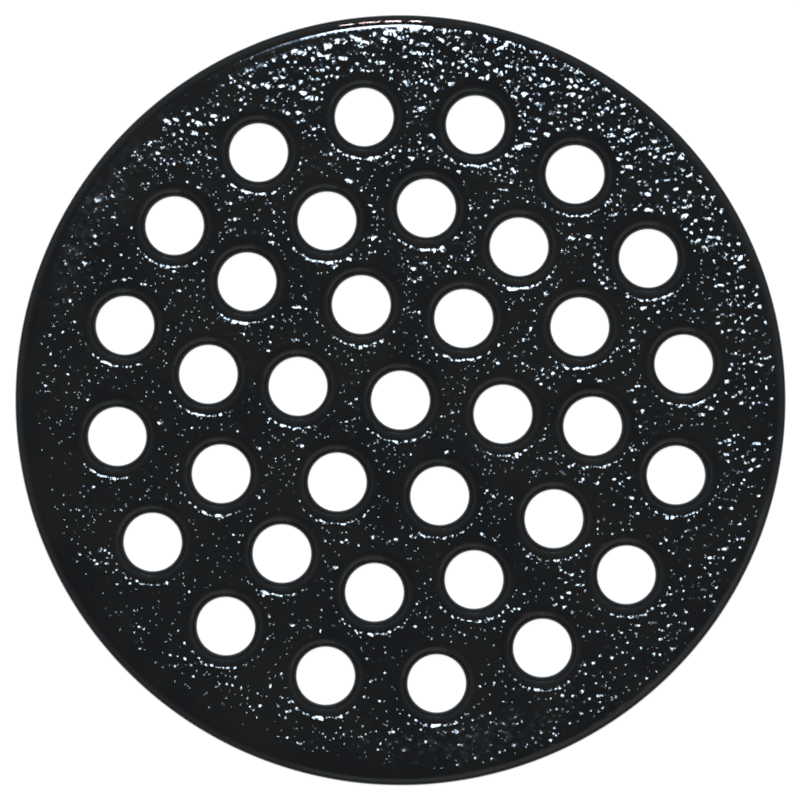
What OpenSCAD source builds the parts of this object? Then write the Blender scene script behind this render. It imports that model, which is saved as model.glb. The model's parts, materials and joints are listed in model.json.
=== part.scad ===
// Round floor drain grate: one cast plate with rings of round openings.
//
// The origin is at the centre of the underside, +Z points up through the
// walking face, and +X passes through the opening that every ring has there.
// All lengths are in millimetres.

/* [Plate] */
// Outside diameter of the plate
plate_d = 203.2; // [195:0.1:250]
// Thickness of the plate
plate_t = 7.9; // [7:0.1:12]
// Radius that rounds the rim on the walking face
rim_round = 3.3; // [1:0.1:4]
// Radius that breaks the rim on the underside
rim_break = 0.8; // [0.3:0.1:1.2]

/* [Openings] */
// Diameter of every opening
hole_d = 15.4; // [8:0.1:15.8]
// Radius that rounds the lip of an opening on the walking face
lip_round = 3.8; // [0.5:0.1:3.9]
// Radius that breaks the edge of an opening on the underside
lip_break = 0.6; // [0.3:0.1:1.2]

/* [Inner ring] */
// Distance from the plate's centre to the openings of the inner ring
inner_ring_r = 27.3; // [24:0.1:27.4]
// Number of openings in the inner ring
inner_ring_n = 6; // [3:1:6]

/* [Middle ring] */
// Distance from the plate's centre to the openings of the middle ring
middle_ring_r = 51.2; // [51.1:0.1:51.6]
// Number of openings in the middle ring
middle_ring_n = 12; // [6:1:13]

/* [Outer ring] */
// Distance from the plate's centre to the openings of the outer ring
outer_ring_r = 75.4; // [75.3:0.1:80]
// Number of openings in the outer ring
outer_ring_n = 16; // [8:1:19]

/* [Hidden] */

// Circles are true circles when the plate is made; this sets how finely they are drawn.
$fn = 96;

// How far a cutter reaches past the face that it cuts through
overcut = 1;

// Angle at which a lip's rounding crosses the face, in degrees. A lip that met
// the face at no angle at all would only touch it and leave slivers behind.
lip_crossing = 4;

plate_r = plate_d / 2;
hole_r = hole_d / 2;

// How far a lip's rounding stands past the face to cross it at that angle,
// as a share of the rounding's radius
lip_rise = 1 - cos(lip_crossing);

// [distance from the centre, number of openings]; the first is the central opening
rings = [
    [0, 1],
    [inner_ring_r, inner_ring_n],
    [middle_ring_r, middle_ring_n],
    [outer_ring_r, outer_ring_n]
];

// What a square corner loses when it is rounded: the corner points to +X +Y
// and the rounding's centre is at the origin.
module corner_waste(r) {
    difference() {
        square(r + overcut);
        circle(r);
    }
}

// Half section of the blank plate, from the axis to the rim
module plate_section() {
    difference() {
        square([plate_r, plate_t]);
        translate([plate_r - rim_round, plate_t - rim_round])
            corner_waste(rim_round);
        translate([plate_r - rim_break, rim_break])
            mirror([0, 1])
                corner_waste(rim_break);
    }
}

// Half section of what one opening removes: its bore, the flare under its
// rounded lip on the walking face, and the broken edge on the underside
module opening_section() {
    translate([0, -overcut])
        square([hole_r, plate_t + 2 * overcut]);
    translate([hole_r + lip_round, plate_t - lip_round * (1 - lip_rise)])
        mirror([1, 0])
            corner_waste(lip_round);
    translate([hole_r + lip_break, lip_break * (1 - lip_rise)])
        rotate(180)
            corner_waste(lip_break);
}

// Everything that the openings remove, ring by ring
module openings() {
    for (ring = rings, i = [0 : ring[1] - 1])
        rotate(i * 360 / ring[1])
            translate([ring[0], 0])
                rotate_extrude()
                    opening_section();
}

// The whole grate, a single casting
module grate_plate() {
    color([0.11, 0.11, 0.115])
        difference() {
            rotate_extrude()
                plate_section();
            openings();
        }
}

grate_plate();
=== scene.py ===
"""Floor drain grate: the looks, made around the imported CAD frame.

The whole grate is one iron casting, so there is one piece. Its mesh follows the CAD
plate's section and adds what casting leaves behind: a grainy walking face, uneven lips
and a rougher underside. All relief goes into the metal, so the plate keeps its size.
"""

import json
import math

import bpy
import numpy as np
from mathutils import Matrix, Vector
from mathutils.geometry import delaunay_2d_cdt
from mathutils.kdtree import KDTree


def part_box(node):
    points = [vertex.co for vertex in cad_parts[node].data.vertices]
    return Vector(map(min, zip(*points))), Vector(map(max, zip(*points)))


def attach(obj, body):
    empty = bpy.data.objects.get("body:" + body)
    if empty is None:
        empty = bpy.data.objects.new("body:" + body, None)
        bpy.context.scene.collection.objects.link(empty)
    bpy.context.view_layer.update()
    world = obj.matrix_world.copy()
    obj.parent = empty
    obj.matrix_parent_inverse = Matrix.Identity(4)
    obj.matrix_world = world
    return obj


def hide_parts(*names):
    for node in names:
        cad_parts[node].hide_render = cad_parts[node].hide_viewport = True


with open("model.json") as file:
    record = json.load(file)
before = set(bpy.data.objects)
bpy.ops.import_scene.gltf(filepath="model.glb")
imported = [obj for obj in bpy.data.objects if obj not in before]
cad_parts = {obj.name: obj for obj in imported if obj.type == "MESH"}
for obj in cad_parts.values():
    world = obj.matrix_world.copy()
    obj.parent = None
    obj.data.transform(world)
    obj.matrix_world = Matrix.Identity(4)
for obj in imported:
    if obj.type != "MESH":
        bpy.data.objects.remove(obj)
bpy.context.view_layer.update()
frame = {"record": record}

MM = 0.001

# ---------------------------------------------------------------- the CAD plate's sizes
MOUNTS = {m["name"]: m for m in frame["record"]["mounts"]}
PLATE_R = MOUNTS["rim"]["dims"]["r_mm"] * MM
PLATE_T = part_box("grate_plate")[1].z
HOLE_R = MOUNTS["centre_opening"]["dims"]["r_mm"] * MM
RIM_ROUND = 3.3 * MM
RIM_BREAK = 0.8 * MM
LIP_ROUND = 3.8 * MM
LIP_BREAK = 0.6 * MM
# (distance from the centre, number of openings); the first is the central opening
RINGS = [(0.0, 1), (27.3 * MM, 6), (51.2 * MM, 12), (75.4 * MM, 16)]

HOLES = np.array(
    [
        (radius * math.cos(turn), radius * math.sin(turn))
        for radius, count in RINGS
        for turn in (2 * math.pi * i / count for i in range(count))
    ]
)
LIP_OUTER = HOLE_R + LIP_ROUND  # where a lip meets the walking face
RIM_INNER = PLATE_R - RIM_ROUND  # where the rim's rounding meets it

# ---------------------------------------------------------------- how finely it is meshed
HOLE_SEGMENTS = 48
RIM_SEGMENTS = 400
# The walking face is meshed as one height field, out to this tilt of the roundings
FIELD_TILT = 20
LIP_STEPS = [29, 39, 50, 63, 76, 90]  # degrees round a lip, past the height field
RIM_STEPS = [29, 39, 50, 64, 78, 90]  # degrees round the rim, past the height field
LIP_RINGS = [3.2, 7, 10.5, 15]  # degrees of tilt at which circles of points follow a lip
RIM_RINGS = [3.2, 7, 11, 15]  # and the rim
BREAK_STEPS = [90, 45]  # degrees round the broken edges underneath
UNDER_PITCH = 2.8 * MM  # how far apart points stand on the underside
UNDER_JITTER = 0.15  # how far each is moved, as a share of the pitch
UNDER_RIM_GAP = 0.9 * MM
UNDER_HOLE_GAP = 0.7 * MM
FILL_PITCH = 1.0 * MM  # the same on the walking face where there are no grains
FILL_JITTER = 0.2
EDGE_GAP = 0.15 * MM  # how far points stand from the height field's edges
RIM_STAGGER = 0.007  # how far every other circle of points is turned, in radians
LIP_STAGGER = 0.05
RING_GAP = 0.10 * MM  # least distance to an older point, for the circles of points,
PEAK_GAP = 0.25 * MM  # for the tops of the grains
FILL_GAP = 0.55 * MM  # and for the filling
# (share of a grain's radius, points, least distance in mm) of the rings round its top
GRAIN_RINGS = ((0.5, 5, 0.20), (1.0, 6, 0.36))

# ---------------------------------------------------------------- the casting's relief
GRAIN_PITCH = 1.5 * MM  # how far apart the sand's grains stand
GRAIN_JITTER = 0.42
GRAIN_TO_RIM = 2.4 * MM  # how near a grain stands to the outside of the rim
GRAIN_DEPTH = 0.24 * MM  # how far the walking face lies below the tallest grain
GRAIN_TILT = 7.5  # degrees, how steep a usual grain's side is
GRAIN_TILT_SPREAD = 0.38  # how much that varies, as a logarithm
GRAIN_R_LEAST = 0.45  # mm, the radius of the smallest grain
GRAIN_R_MORE = 0.72  # mm, how much larger the largest is
GRAIN_TO_HOLE = 3.9 * MM  # how near a grain stands to the wall of an opening
COARSE_SIDE = math.radians(-52)  # the direction in which the sand was coarsest
STEEP_SIDE = math.radians(-142)  # the direction in which the grains are steepest

# Beads that the coating forms where it runs over the lips
BEAD_PITCH = 1.25 * MM
BEAD_JITTER = 0.30
BEAD_TILT = 7.0
BEAD_TILT_SPREAD = 0.42
BEAD_R = (0.50, 0.78)  # mm
BEAD_TO_HOLE = (2.95 * MM, 4.1 * MM)  # where they stand, out from the opening's wall

LUMP_HEIGHT = 0.012 * MM
SWELL_HEIGHT = 0.030 * MM
PIT_DEPTH = 0.08 * MM  # on the underside
WALL_INSET = 0.025  # mm, how far the relief's middle lies in the metal on the walls
FACE_INSET = 0.075  # mm, how much further on the faces
DEEPEST = 0.6 * MM  # the most that lumps, swells and pits may take away

# (direction, distance in from the rim, strength) of the places dulled by handling
DULL_PLACES = [(math.radians(99), 6 * MM, 0.65), (math.radians(229), 9.5 * MM, 1.0)]
DULL_WIDTH = 5.5 * MM
DULL_LENGTH = 28 * MM

WAVE_COUNT = 160
rng = np.random.default_rng(430)


def smooth(x, low, high):
    """0 below low, 1 above high and an even S between them."""
    t = np.clip((x - low) / (high - low), 0, 1)
    return t * t * (3 - 2 * t)


def waves(points, shortest, longest):
    """A rolling random field over the points with a spread of 1, made of plane waves."""
    total = np.zeros(len(points))
    for _ in range(WAVE_COUNT):
        way = rng.normal(size=3)
        way /= np.linalg.norm(way)
        length = rng.uniform(shortest, longest)
        phase = rng.uniform(0, 2 * math.pi)
        total += np.sin(points @ (way * 2 * math.pi / length) + phase)
    return total * math.sqrt(2 / WAVE_COUNT)


def hole_distance(points):
    """How far each point is from the axis of the nearest opening."""
    apart = points[:, None, :2] - HOLES[None]
    return np.sqrt((apart**2).sum(axis=2)).min(axis=1)


def towards(direction, spots):
    """How far each spot lies in a direction, as a share of the plate's radius."""
    return spots[:, :2] @ (math.cos(direction), math.sin(direction)) / PLATE_R


# ---------------------------------------------------------------- points and triangles
def circle(count, radius, centre=(0, 0), start=0.0):
    """Points evenly round a circle."""
    turn = start + np.arange(count) * 2 * math.pi / count
    return np.column_stack([np.cos(turn), np.sin(turn)]) * radius + np.asarray(centre)


def scatter(pitch, jitter, reach):
    """Points of a triangular grid, each moved at random by up to jitter of the pitch."""
    row = pitch * math.sqrt(3) / 2
    rows = int(reach / row) + 1
    columns = int(reach / pitch) + 1
    j, i = np.mgrid[-rows : rows + 1, -columns : columns + 1]
    spots = np.column_stack([((i + (j % 2) / 2) * pitch).ravel(), (j * row).ravel()])
    spots += rng.uniform(-jitter, jitter, spots.shape) * pitch
    return spots[np.hypot(*spots.T) < reach]


def on_radius(rounding, flat_radius, side, degrees):
    """The radius at which a rounding next to a flat face has this tilt."""
    return flat_radius + side * rounding * math.sin(math.radians(degrees))


class Spread:
    """Keeps a set of points in which none stands too close to another."""

    def __init__(self, cell):
        self.cell = cell
        self.cells = {}
        self.kept = []

    def add(self, spots, gap):
        """Keeps those of the spots that are at least gap, up to one cell, from the rest."""
        for x, y in spots:
            i = int(x // self.cell)
            j = int(y // self.cell)
            near = (
                other
                for a in (i - 1, i, i + 1)
                for b in (j - 1, j, j + 1)
                for other in self.cells.get((a, b), ())
            )
            if all((x - u) ** 2 + (y - v) ** 2 >= gap * gap for u, v in near):
                self.cells.setdefault((i, j), []).append((x, y))
                self.kept.append((x, y))


def triangles(given, sizes, lip_radius):
    """Joins points into triangles, between the first circle and the others."""
    links = []
    start = 0
    for size in sizes:
        links += [(start + k, start + (k + 1) % size) for k in range(size)]
        start += size
    out = delaunay_2d_cdt([Vector(p) for p in given], links, [], 1, 1e-7)
    if len(out[0]) != len(given):
        raise ValueError("the flat face gained or lost points")
    places = [ids[0] for ids in out[3]]
    found = np.array([[places[v] for v in face] for face in out[2]])
    middle = given[found].mean(axis=1)
    return found[hole_distance(middle) > lip_radius * math.cos(math.pi / HOLE_SEGMENTS)]


def arc(radius, centre_r, centre_z, degrees, side, up):
    """(distance, height, outward normal) of points round a corner of the section.

    side is 1 where the corner faces away from the axis and -1 where it faces it."""
    rows = []
    for angle in degrees:
        s = math.sin(math.radians(angle))
        c = math.cos(math.radians(angle))
        rows.append((centre_r + side * radius * s, centre_z + up * radius * c, side * s, up * c))
    return rows


def wall_rows(outer, side, round_r, round_steps, break_r):
    """The section of an edge from just below the walking face to the underside."""
    rows = arc(round_r, outer - side * round_r, PLATE_T - round_r, round_steps, side, 1)
    rows += arc(break_r, outer - side * break_r, break_r, BREAK_STEPS, side, -1)
    return rows


# ---------------------------------------------------------------- grains and beads
def grain_limit(spots):
    """How far from the axis the grains reach in each spot's direction."""
    turn = np.arctan2(spots[:, 1], spots[:, 0]) - COARSE_SIDE
    return RIM_INNER + (-2.5 + 3.3 * smooth(np.cos(turn), -0.12, 0.20)) * MM


def dulled(spots):
    """How far handling has dulled the coating: places along the margin, longer than wide."""
    turn = np.arctan2(spots[:, 1], spots[:, 0])
    out = np.hypot(spots[:, 0], spots[:, 1])
    total = np.zeros(len(spots))
    for direction, inset, strength in DULL_PLACES:
        across = (out - (PLATE_R - inset)) / DULL_WIDTH
        along = np.angle(np.exp(1j * (turn - direction))) * out / DULL_LENGTH
        total += strength * np.exp(-(along**2) - across**2)
    return total


grain_xy = scatter(GRAIN_PITCH, GRAIN_JITTER, PLATE_R - GRAIN_TO_RIM)
grain_xy = grain_xy[np.hypot(*grain_xy.T) < grain_limit(grain_xy)]
grain_xy = grain_xy[hole_distance(grain_xy) > HOLE_R + GRAIN_TO_HOLE]
on_face = np.column_stack([grain_xy, np.zeros(len(grain_xy))])
# How far each of these regions and directions applies to each grain, at most 1
margin = smooth(np.hypot(*grain_xy.T), 80 * MM, 90 * MM)
coarse = towards(COARSE_SIDE, grain_xy)
steep = smooth(towards(STEEP_SIDE, grain_xy), 0.1, 0.95)
opposite = smooth(-towards(STEEP_SIDE, grain_xy), 0.45, 0.95)
patch = smooth(waves(on_face, 6 * MM, 15 * MM), -1.5, 1.0)
grain_tilt = np.exp(rng.normal(0, GRAIN_TILT_SPREAD, len(grain_xy))) * GRAIN_TILT
grain_tilt *= (0.79 + 0.58 * margin) * (1 + 0.38 * coarse)
grain_tilt *= 1 + 0.32 * steep + 0.26 * opposite
grain_tilt *= (0.34 + 0.90 * patch) * (1 - 0.45 * dulled(grain_xy))
grain_r = GRAIN_R_LEAST + GRAIN_R_MORE * rng.uniform(0, 1, len(grain_xy)) ** 1.3
grain_r *= (1 + 0.12 * coarse + 0.14 * opposite) * MM

bead_xy = scatter(BEAD_PITCH, BEAD_JITTER, PLATE_R)
bead_out = hole_distance(bead_xy) - HOLE_R
bead_xy = bead_xy[(bead_out > BEAD_TO_HOLE[0]) & (bead_out < BEAD_TO_HOLE[1])]
bead_steep = smooth(towards(STEEP_SIDE, bead_xy), -0.1, 0.8)
bead_tilt = np.exp(rng.normal(0, BEAD_TILT_SPREAD, len(bead_xy))) * BEAD_TILT
bead_tilt *= 1 + 1.1 * bead_steep
bead_r = rng.uniform(*BEAD_R, len(bead_xy)) * MM

mound_xy = np.vstack([grain_xy, bead_xy])
mound_r = np.concatenate([grain_r, bead_r])
mound_h = np.tan(np.radians(np.concatenate([grain_tilt, bead_tilt]))) * mound_r
mound_h = np.minimum(mound_h, GRAIN_DEPTH)

# ---------------------------------------------------------------- the two faces
# The walking face: circles round the openings and the rim, the mounds, then filling
lip_edge = on_radius(LIP_ROUND, LIP_OUTER, -1, FIELD_TILT)
rim_edge = on_radius(RIM_ROUND, RIM_INNER, 1, FIELD_TILT)


def on_face_only(spots):
    """The spots that lie inside the walking face's edges."""
    spots = np.asarray(spots)
    spots = spots[np.hypot(*spots.T) < rim_edge - EDGE_GAP]
    return spots[hole_distance(spots) > lip_edge + EDGE_GAP]


spread = Spread(0.8 * MM)
edges = [circle(RIM_SEGMENTS, rim_edge)]
edges += [circle(HOLE_SEGMENTS, lip_edge, centre) for centre in HOLES]
for edge in edges:
    spread.add(edge, 0)
for k, tilt in enumerate(RIM_RINGS[::-1]):
    radius = on_radius(RIM_ROUND, RIM_INNER, 1, tilt)
    spread.add(circle(RIM_SEGMENTS, radius, (0, 0), (k % 2) * RIM_STAGGER), RING_GAP)
for k, tilt in enumerate(LIP_RINGS[::-1]):
    radius = on_radius(LIP_ROUND, LIP_OUTER, -1, tilt)
    for centre in HOLES:
        ring = circle(HOLE_SEGMENTS, radius, centre, (k % 2) * LIP_STAGGER)
        spread.add(ring, RING_GAP)
spread.add(on_face_only(mound_xy), PEAK_GAP)
turns = rng.uniform(0, 2 * math.pi, len(mound_xy))
for share, count, gap in GRAIN_RINGS:
    for centre, radius, turn in zip(mound_xy, mound_r, turns):
        ring = circle(count, radius * share, centre, turn * share)
        spread.add(on_face_only(ring), gap * MM)
spread.add(on_face_only(scatter(FILL_PITCH, FILL_JITTER, rim_edge)), FILL_GAP)
top_xy = np.array(spread.kept)
top_faces = triangles(top_xy, [len(e) for e in edges], lip_edge)

# The underside is flat and has fewer points
under_edges = [circle(RIM_SEGMENTS, PLATE_R - RIM_BREAK)]
under_edges += [circle(HOLE_SEGMENTS, HOLE_R + LIP_BREAK, centre) for centre in HOLES]
filling = scatter(UNDER_PITCH, UNDER_JITTER, PLATE_R - RIM_BREAK - UNDER_RIM_GAP)
filling = filling[hole_distance(filling) > HOLE_R + LIP_BREAK + UNDER_HOLE_GAP]
under_xy = np.vstack([*under_edges, filling])
under_faces = triangles(under_xy, [len(e) for e in under_edges], HOLE_R + LIP_BREAK)


def face_section(spots):
    """Height and outward normal of the plain walking face with its roundings."""
    lip = np.clip(LIP_OUTER - hole_distance(spots), 0, None) / LIP_ROUND
    rim = np.clip(np.hypot(*spots.T) - RIM_INNER, 0, None) / RIM_ROUND
    drop = LIP_ROUND * (1 - np.sqrt(1 - lip**2)) + RIM_ROUND * (1 - np.sqrt(1 - rim**2))
    apart = spots[:, None] - HOLES[None]
    nearest = HOLES[(apart**2).sum(axis=2).argmin(axis=1)]
    inward = (nearest - spots) / np.linalg.norm(nearest - spots, axis=1)[:, None]
    outward = spots / np.linalg.norm(spots, axis=1)[:, None]
    tilt = inward * lip[:, None] + outward * rim[:, None]
    rise = np.sqrt(1 - (tilt**2).sum(axis=1))
    return PLATE_T - drop, np.column_stack([tilt, rise])


top_z, top_normals = face_section(top_xy)
under_start = len(top_xy)
verts = [np.column_stack([top_xy, top_z]), np.column_stack([under_xy, np.zeros(len(under_xy))])]
normals = [top_normals, np.tile((0.0, 0.0, -1.0), (len(under_xy), 1))]
faces = [tuple(f) for f in top_faces]
faces += [tuple(under_start + v for v in f[::-1]) for f in under_faces]


# ---------------------------------------------------------------- the walls between them
def edge_wall(centre, rows, first_top, first_under, segments, side):
    """Joins one circle of the walking face to its circle of the underside."""
    ray = circle(segments, 1.0)
    loops = [np.arange(segments) + first_top]
    for distance, height, outward, upward in rows:
        loops.append(np.arange(segments) + sum(len(v) for v in verts))
        verts.append(np.column_stack([centre + ray * distance, np.full(segments, height)]))
        normals.append(np.column_stack([ray * outward, np.full(segments, upward)]))
    loops.append(np.arange(segments) + first_under)
    for upper, lower in zip(loops, loops[1:]):
        for k in range(segments):
            n = (k + 1) % segments
            quad = (upper[k], lower[k], lower[n], upper[n])
            faces.append(quad if side > 0 else quad[::-1])


rim_rows = wall_rows(PLATE_R, 1, RIM_ROUND, RIM_STEPS, RIM_BREAK)
edge_wall(np.zeros(2), rim_rows, 0, under_start, RIM_SEGMENTS, 1)
hole_rows = wall_rows(HOLE_R, -1, LIP_ROUND, LIP_STEPS, LIP_BREAK)
for number, centre in enumerate(HOLES):
    begin = RIM_SEGMENTS + number * HOLE_SEGMENTS
    edge_wall(centre, hole_rows, begin, under_start + begin, HOLE_SEGMENTS, -1)

points = np.vstack(verts)
normals = np.vstack(normals)

# ---------------------------------------------------------------- what casting left behind
from_hole = hole_distance(points)
from_axis = np.hypot(points[:, 0], points[:, 1])
under = smooth(-normals[:, 2], 0.3, 0.9)
facing = smooth(abs(normals[:, 2]), 0.0, 0.9)
# 1 where the walking face has grains and 0 on the smooth lips and rim
flat = smooth(from_hole, LIP_OUTER - 1.2 * MM, LIP_OUTER + 0.8 * MM)
flat *= 1 - smooth(from_axis - grain_limit(points), -0.6 * MM, 1.0 * MM)
flat *= normals[:, 2] > 0.5

lumps = LUMP_HEIGHT * waves(points, 2.6 * MM, 4.5 * MM) * (0.3 + 0.7 * flat)
swells = SWELL_HEIGHT * waves(points, 7 * MM, 16 * MM) * (0.4 + 0.6 * flat)
pits = PIT_DEPTH * waves(points, 5 * MM, 10 * MM) * under
sunk = (lumps + swells) * (0.35 + 0.65 * facing) + pits
sunk += (WALL_INSET + FACE_INSET * facing) * MM
sunk = np.clip(sunk, 0, DEEPEST)
sunk += GRAIN_DEPTH * smooth(normals[:, 2], 0.0, 0.9)

tree = KDTree(len(mound_xy))
for k, (x, y) in enumerate(mound_xy):
    tree.insert((x, y, 0), k)
tree.balance()
raised = np.zeros(len(points))
for v in range(len(top_xy)):
    for _, k, apart in tree.find_range((*top_xy[v], 0), mound_r.max()):
        reach = min(apart / mound_r[k], 1)
        raised[v] += mound_h[k] * (1 - reach * reach * (3 - 2 * reach))
sunk -= np.minimum(raised, GRAIN_DEPTH)
points = points - normals * sunk[:, None]

# What the material reads at each point: how grainy the metal is, how much of it is
# underside, where the steep part of a lip into an opening is painted paler (painted light
# standing in for light the lamps do not bring there), and where handling has dulled it in
# patches
grain = 0.06 + 0.94 * flat
# Painted light: a mask of the steep part of each lip, which the material paints paler
lip_painted_light = smooth(-normals[:, 2], -0.76, -0.50) * (1 - under) * (from_hole < LIP_OUTER)
dull = dulled(points) * np.clip(0.75 + 0.45 * waves(points, 1.5 * MM, 4 * MM), 0, 1.5)

mesh = bpy.data.meshes.new("cast_grate_plate")
mesh.from_pydata(points.tolist(), [], [tuple(int(v) for v in f) for f in faces])
mesh.validate()
mesh.shade_smooth()
read_by_material = {"grain": grain, "underside": under, "dull": dull, "lip_painted_light": lip_painted_light}
for name, values in read_by_material.items():
    layer = mesh.attributes.new(name, "FLOAT", "POINT")
    layer.data.foreach_set("value", values.astype(np.float32))
plate = bpy.data.objects.new("cast_grate_plate", mesh)
bpy.context.scene.collection.objects.link(plate)


# ---------------------------------------------------------------- materials
class Nodes:
    """Short ways to add and join the nodes of a material or of the world."""

    def __init__(self, owner):
        owner.use_nodes = True
        self.tree = owner.node_tree
        self.tree.nodes.clear()

    def add(self, kind, **settings):
        node = self.tree.nodes.new("ShaderNode" + kind)
        for key, value in settings.items():
            setattr(node, key, value)
        return node

    def put(self, value, socket):
        if isinstance(value, bpy.types.NodeSocket):
            self.tree.links.new(value, socket)
        else:
            socket.default_value = value

    def attribute(self, name):
        return self.add("Attribute", attribute_name=name).outputs["Fac"]

    def maths(self, operation, a, b):
        node = self.add("Math", operation=operation)
        self.put(a, node.inputs[0])
        self.put(b, node.inputs[1])
        return node.outputs[0]

    def noise(self, place, scale, detail, roughness):
        node = self.add("TexNoise")
        self.put(place, node.inputs["Vector"])
        self.put(scale, node.inputs["Scale"])
        self.put(detail, node.inputs["Detail"])
        self.put(roughness, node.inputs["Roughness"])
        return node.outputs["Fac"]

    def ramp(self, value, low, high, to_low=0.0, to_high=1.0):
        node = self.add("MapRange", interpolation_type="SMOOTHSTEP")
        self.put(value, node.inputs["Value"])
        self.put(low, node.inputs["From Min"])
        self.put(high, node.inputs["From Max"])
        self.put(to_low, node.inputs["To Min"])
        self.put(to_high, node.inputs["To Max"])
        return node.outputs["Result"]

    def mix(self, share, a, b):
        node = self.add("Mix", data_type="RGBA")
        self.put(share, node.inputs[0])
        self.put(a, node.inputs[6])
        self.put(b, node.inputs[7])
        return node.outputs[2]

    def for_camera(self, seen, otherwise):
        """One shader to the camera and another to every other ray."""
        node = self.add("MixShader")
        self.put(self.add("LightPath").outputs["Is Camera Ray"], node.inputs[0])
        self.put(otherwise, node.inputs[1])
        self.put(seen, node.inputs[2])
        return node.outputs[0]


BLACK_COAT = (0.0190, 0.0181, 0.0180, 1)
BROWNISH_COAT = (0.0277, 0.0243, 0.0211, 1)
BLUISH_FLECK = (0.0220, 0.0254, 0.0341, 1)
UNDERSIDE_COAT = (0.022, 0.021, 0.020, 1)
# Painted light: a paler colour for the steep part of each lip, in place of light the lamps do
# not bring there
PAINTED_LIP_LIGHT = (0.037, 0.034, 0.032, 1)
COAT_ROUGHNESS = (0.05, 0.085)
UNDERSIDE_ROUGHER = 0.28
DULL_ROUGHER = 0.14
COAT_IOR = 1.7
BUMP_DEPTH = 0.05 * MM
RIPPLE_HEIGHT = 0.6  # as a share of the bump's depth
SMALL_BEAD_HEIGHT = 1.2  # the same
SMALL_BEAD_R = 0.36  # as a share of the beads' pitch
SMALL_BEADS_PER_METRE = 1000


def coated_iron():
    """Thick black coating, poured over sand cast iron."""
    material = bpy.data.materials.new("coated_iron_gloss")
    n = Nodes(material)
    place = n.add("TexCoord").outputs["Object"]
    grain_here = n.attribute("grain")
    under_here = n.attribute("underside")
    dull_here = n.attribute("dull")
    lip_painted_light_here = n.attribute("lip_painted_light")

    blotch = n.ramp(n.noise(place, 55, 3, 0.6), 0.35, 0.65)
    fleck = n.ramp(n.noise(place, 420, 2, 0.5), 0.55, 0.8, 0, 0.5)
    colour = n.mix(blotch, BLACK_COAT, BROWNISH_COAT)
    colour = n.mix(fleck, colour, BLUISH_FLECK)
    colour = n.mix(n.maths("MULTIPLY", under_here, 0.6), colour, UNDERSIDE_COAT)
    # Painted light: the steep part of each lip is painted paler
    colour = n.mix(lip_painted_light_here, colour, PAINTED_LIP_LIGHT)

    rough = n.ramp(n.noise(place, 140, 3, 0.6), 0.3, 0.7, *COAT_ROUGHNESS)
    rough = n.maths("ADD", rough, n.maths("MULTIPLY", under_here, UNDERSIDE_ROUGHER))
    rough = n.maths("ADD", rough, n.maths("MULTIPLY", dull_here, DULL_ROUGHER))

    ripple = n.maths("MULTIPLY", grain_here, RIPPLE_HEIGHT)
    ripple = n.maths("MULTIPLY", n.noise(place, 620, 1.0, 0.5), ripple)
    # Beads too small for the mesh: at most one in each cell, some tall and most low
    cells = n.add("TexVoronoi", feature="F1")
    n.put(place, cells.inputs["Vector"])
    n.put(SMALL_BEADS_PER_METRE, cells.inputs["Scale"])
    pick = n.add("SeparateColor")
    n.put(cells.outputs["Color"], pick.inputs[0])
    bead = n.ramp(cells.outputs["Distance"], 0.0, SMALL_BEAD_R, 1.0, 0.0)
    bead = n.maths("MULTIPLY", bead, n.ramp(pick.outputs[0], 0.1, 1.0))
    where = n.maths("MULTIPLY", dull_here, 1.2)
    where = n.maths("MAXIMUM", n.maths("POWER", grain_here, 0.5), where)
    bead = n.maths("MULTIPLY", n.maths("MULTIPLY", bead, where), SMALL_BEAD_HEIGHT)
    bump = n.add("Bump")
    n.put(1.0, bump.inputs["Strength"])
    n.put(BUMP_DEPTH, bump.inputs["Distance"])
    n.put(n.maths("ADD", ripple, bead), bump.inputs["Height"])

    shader = n.add("BsdfPrincipled")
    n.put(colour, shader.inputs["Base Color"])
    n.put(rough, shader.inputs["Roughness"])
    n.put(bump.outputs["Normal"], shader.inputs["Normal"])
    n.put(COAT_IOR, shader.inputs["IOR"])
    n.put(0.0, shader.inputs["Metallic"])
    n.put(shader.outputs[0], n.add("OutputMaterial").inputs["Surface"])
    return material


mesh.materials.append(coated_iron())
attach(plate, "root")
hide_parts("grate_plate")

# ---------------------------------------------------------------- floor and surroundings
# To the camera the floor and what is beyond it are plain white paper, evenly lit. To
# everything else the floor is a grey matt surface and the studio round it is dim.
FLOOR_HALF = 20.0
FLOOR_COLOUR = (0.28, 0.28, 0.28, 1)
# (sine of the angle above the horizon, brightness) of the studio
SKY_STEPS = ((0.0, 0.40), (0.12, 0.15), (0.40, 0.13), (0.75, 0.03))


def white_paper():
    """Matt, and glowing just enough to be plain white to the camera."""
    material = bpy.data.materials.new("white_paper")
    n = Nodes(material)
    matt = n.add("BsdfDiffuse")
    n.put(FLOOR_COLOUR, matt.inputs["Color"])
    glow = n.add("Emission")
    n.put(1.0, glow.inputs["Strength"])
    black = n.add("Emission")
    n.put(0.0, black.inputs["Strength"])
    both = n.add("AddShader")
    n.put(matt.outputs[0], both.inputs[0])
    n.put(n.for_camera(glow.outputs[0], black.outputs[0]), both.inputs[1])
    n.put(both.outputs[0], n.add("OutputMaterial").inputs["Surface"])
    return material


floor_mesh = bpy.data.meshes.new("floor")
corners = [(-1, -1), (1, -1), (1, 1), (-1, 1)]
corners = [(x * FLOOR_HALF, y * FLOOR_HALF, 0) for x, y in corners]
floor_mesh.from_pydata(corners, [], [(0, 1, 2, 3)])
floor_mesh.materials.append(white_paper())
floor = bpy.data.objects.new("floor", floor_mesh)
bpy.context.scene.collection.objects.link(floor)


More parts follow.
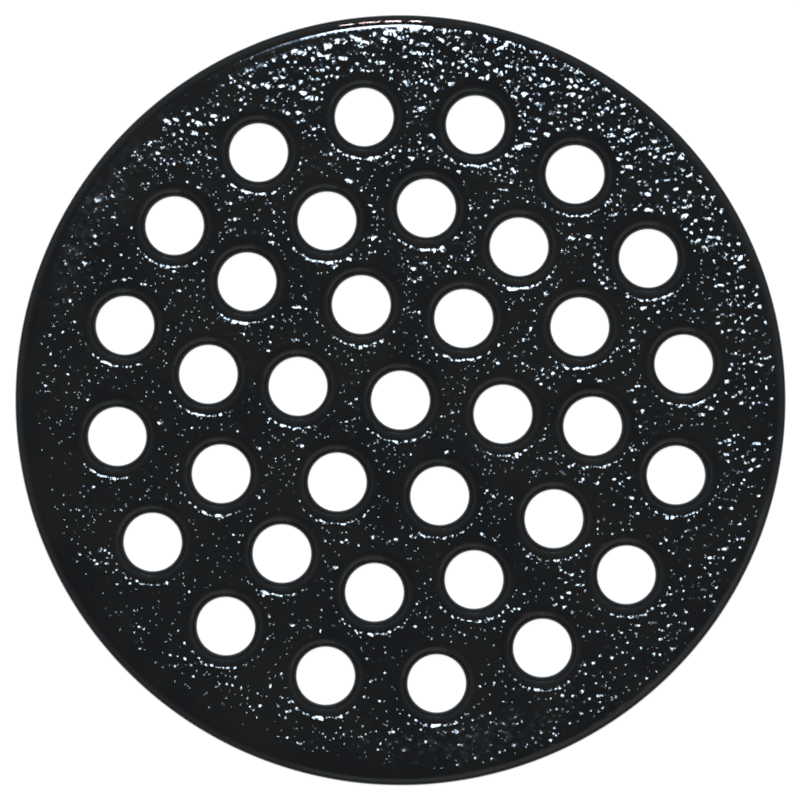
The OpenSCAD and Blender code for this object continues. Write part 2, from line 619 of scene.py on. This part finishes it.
def studio():
    """Plain white to the camera, and a dim sky to every other ray."""
    world = bpy.data.worlds.new("studio")
    n = Nodes(world)
    height = n.add("SeparateXYZ")
    n.put(n.add("TexCoord").outputs["Generated"], height.inputs[0])
    shade = n.add("ValToRGB")
    n.put(height.outputs["Z"], shade.inputs["Fac"])
    stops = shade.color_ramp.elements
    for number, (sine, level) in enumerate(SKY_STEPS):
        stop = stops[number] if number < 2 else stops.new(sine)
        stop.position = sine
        stop.color = (level, level, level, 1)
    dim = n.add("Background")
    n.put(shade.outputs["Color"], dim.inputs["Color"])
    n.put(1.0, dim.inputs["Strength"])
    white = n.add("Background")
    n.put((1, 1, 1, 1), white.inputs["Color"])
    n.put(1.0, white.inputs["Strength"])
    sky = n.add("OutputWorld")
    n.put(n.for_camera(white.outputs[0], dim.outputs[0]), sky.inputs["Surface"])
    return world


bpy.context.scene.world = studio()

# ---------------------------------------------------------------- lights and camera
# The camera looks straight down on the plate, whose +X lies this far anticlockwise from
# the picture's right.
TURN = math.radians(52.3)
CAMERA_HEIGHT = 1.9
VIEW_WIDTH = 0.21066  # how much of the walking face the picture's width covers
SENSOR_WIDTH = 36

BLUISH = (0.72, 0.87, 1.0)
BLUE = (0.45, 0.66, 1.0)
PINK = (1.0, 0.74, 0.74)
GREENISH = (0.93, 1.0, 0.94)
# The broken pink line along the far rim: (place to the right, length) of each strip
EDGE_STRIPS = ((-0.0188, 0.0046), (-0.0110, 0.0072), (-0.0026, 0.0052), (0.0052, 0.0039))
EDGE_STRIP_WIDTH = 0.0012
EDGE_STRIP_SPREAD = math.radians(30)


def from_picture(right, up, height):
    """A place given by the picture's right and up directions, in the plate's frame."""
    return Matrix.Rotation(-TURN, 3, "Z") @ Vector((right, up, height))


def facing_from(place):
    """The rotation of a lamp that stands in this direction and looks at the origin."""
    return (-place).to_track_quat("-Z", "Y")


def softbox(name, place, size, watts, colour):
    """A soft area light that looks at the plate: a disc, or a rectangle with two sizes."""
    data = bpy.data.lights.new(name, "AREA")
    data.size = size[0]
    if len(size) == 2:
        data.shape = "RECTANGLE"
        data.size_y = size[1]
    else:
        data.shape = "DISK"
    data.energy = watts
    data.color = colour
    lamp = bpy.data.objects.new(name, data)
    lamp.location = place
    lamp.rotation_mode = "QUATERNION"
    lamp.rotation_quaternion = facing_from(place)
    lamp.visible_camera = False
    bpy.context.scene.collection.objects.link(lamp)
    return lamp


key_place = from_picture(0.035, 0.66, 1.9)
softbox("key", key_place, (0.40,), 18.5, BLUISH)
softbox("key_halo", key_place, (0.56,), 2.6, BLUE)
for number, (right, length) in enumerate(EDGE_STRIPS):
    place = from_picture(right, 0.130, 0.021)
    strip = softbox(f"edge_strip_{number}", place, (length, EDGE_STRIP_WIDTH), 0.0002, PINK)
    strip.rotation_quaternion = facing_from(from_picture(0, 0.83, 0.56))
    strip.data.spread = EDGE_STRIP_SPREAD
    strip.visible_diffuse = False
softbox("fill", from_picture(0.9, -1.6, 0.5), (3.6, 1.1), 2.0, GREENISH)

camera_data = bpy.data.cameras.new("camera")
camera_data.sensor_width = SENSOR_WIDTH
camera_data.lens = SENSOR_WIDTH * (CAMERA_HEIGHT - PLATE_T) / VIEW_WIDTH
camera_data.clip_end = 100
camera = bpy.data.objects.new("camera", camera_data)
camera.location = from_picture(-0.00013, 0.00005, CAMERA_HEIGHT)
camera.rotation_euler = (0, 0, -TURN)
bpy.context.scene.collection.objects.link(camera)
bpy.context.scene.camera = camera
bpy.context.scene.view_settings.view_transform = "Standard"
# A wide pixel filter makes the highlights and edges as soft as a lens does
bpy.context.scene.cycles.filter_width = 2.2
